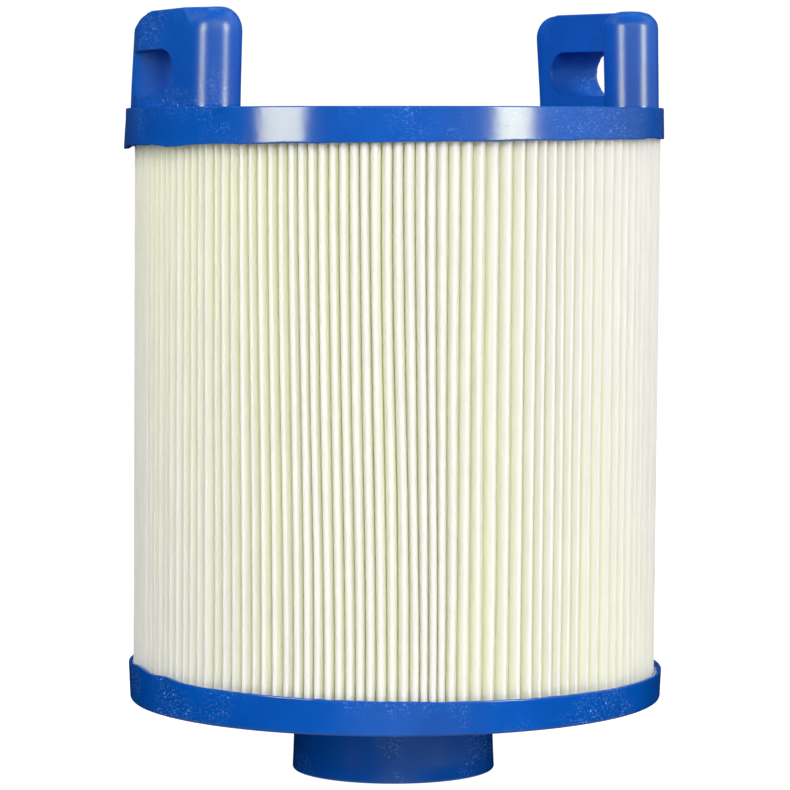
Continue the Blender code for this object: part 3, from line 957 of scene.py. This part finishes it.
def softbox(name, place, width, power):
    """A tall softbox that stands at a place round the cartridge and faces it."""
    light = area_light(name, width, SOFTBOX_HIGH - SOFTBOX_LOW, power)
    turn = azimuth(place)
    height = (SOFTBOX_LOW + SOFTBOX_HIGH) / 2
    centre = Vector((math.cos(turn) * SOFTBOX_DISTANCE, math.sin(turn) * SOFTBOX_DISTANCE, height))
    light.location = centre
    aim = Vector((0.0, 0.0, min(centre.z, 0.4))) - centre
    light.rotation_euler = aim.to_track_quat("-Z", "Y").to_euler()


def overhead(name, place, elevation, distance, width, height, power):
    """A softbox above or below the cartridge that faces its middle and shows in no reflection."""
    light = area_light(name, width, height, power)
    turn, rise = azimuth(place), math.radians(elevation)
    offset = Vector((math.cos(turn) * math.cos(rise), math.sin(turn) * math.cos(rise), math.sin(rise)))
    light.location = Vector((0.0, 0.0, 0.1)) + offset * distance
    light.rotation_euler = (-offset).to_track_quat("-Z", "Y").to_euler()
    light.visible_glossy = False


def smooth_ramp(tree, value, low, high, out_low, out_high):
    """A smooth ramp of a value, from out_low at low to out_high at high."""
    node = tree.nodes.new("ShaderNodeMapRange")
    node.interpolation_type = "SMOOTHSTEP"
    set_range(node, low, high, out_low, out_high)
    tree.links.new(value, node.inputs["Value"])
    return node.outputs["Result"]


def add_world():
    """A dim studio with a pale wall on the camera's right, and some light from the floor."""
    world = bpy.data.worlds.new("studio")
    world.use_nodes = True
    tree = world.node_tree
    background = tree.nodes["Background"]
    background.inputs["Color"].default_value = (1.0, 1.0, 1.0, 1.0)
    coords = tree.nodes.new("ShaderNodeTexCoord")
    side = tree.nodes.new("ShaderNodeVectorMath")
    side.operation = "DOT_PRODUCT"
    brightest = azimuth(75.0)
    side.inputs[1].default_value = (math.cos(brightest), math.sin(brightest), 0.0)
    tree.links.new(coords.outputs["Generated"], side.inputs[0])
    axes = tree.nodes.new("ShaderNodeSeparateXYZ")
    tree.links.new(coords.outputs["Generated"], axes.inputs[0])
    glow = smooth_ramp(tree, side.outputs["Value"], 0.3, 1.0, 0.02, 0.4)
    above = smooth_ramp(tree, axes.outputs["Z"], -0.13, -0.03, 0.0, 1.0)
    bounce = smooth_ramp(tree, axes.outputs["Z"], -0.3, -0.6, 0.0, 0.2)
    wall = tree.nodes.new("ShaderNodeMath")
    wall.operation = "MULTIPLY"
    tree.links.new(glow, wall.inputs[0])
    tree.links.new(above, wall.inputs[1])
    total = tree.nodes.new("ShaderNodeMath")
    tree.links.new(wall.outputs["Value"], total.inputs[0])
    tree.links.new(bounce, total.inputs[1])
    tree.links.new(total.outputs["Value"], background.inputs["Strength"])
    bpy.context.scene.world = world


def add_stage():
    """The world, a white floor and backdrop that only the camera sees, and the lights."""
    add_world()
    white = bpy.data.materials.new("white_backdrop")
    white.use_nodes = True
    shader = white.node_tree.nodes["Principled BSDF"]
    shader.inputs["Base Color"].default_value = (0.12, 0.12, 0.12, 1.0)
    shader.inputs["Roughness"].default_value = 1.0
    shader.inputs["Emission Color"].default_value = (1.0, 1.0, 1.0, 1.0)
    shader.inputs["Emission Strength"].default_value = 1.05
    bm = bmesh.new()
    bmesh.ops.create_circle(bm, cap_ends=True, radius=FLOOR_RADIUS, segments=64)
    floor = new_object("floor", mesh_from_bmesh("floor", bm), white)
    floor.location.z = -FLOOR_DROP
    bm = bmesh.new()
    bmesh.ops.create_icosphere(bm, subdivisions=4, radius=BACKDROP_RADIUS)
    backdrop = new_object("backdrop", mesh_from_bmesh("backdrop", bm), white)
    for piece in (floor, backdrop):
        piece.visible_diffuse = False
        piece.visible_glossy = False
        piece.visible_transmission = False
        piece.visible_shadow = False

    softbox("left_softbox", -46.5, 0.42, 8.2)
    softbox("right_softbox", 49.5, 0.38, 8.8)
    for light in OVERHEADS:
        overhead(*light)
    bpy.context.scene.view_settings.view_transform = "Standard"


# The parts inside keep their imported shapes


def dress_inner_parts():
    """White plastic for the core, its plug and the liner, and amber glue for the seam."""
    plastic = moulded_plastic("white_moulding", (0.80, 0.80, 0.77), 0.42)
    glue = moulded_plastic("hot_melt", (0.78, 0.70, 0.48), 0.35)
    for name in ("core_lower", "core_middle", "core_upper", "core_plug", "spigot_liner"):
        give_material(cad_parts[name], plastic)
    give_material(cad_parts["seam_bead"], glue)


def give_material(obj, material):
    """The same material in all of an object's slots."""
    for slot in obj.material_slots:
        slot.material = material


def main():
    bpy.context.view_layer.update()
    add_camera()
    add_stage()
    blue = polyurethane()
    top_cap(blue)
    bottom_cap(blue)
    pleated_sheet(fleece())
    dress_inner_parts()


main()
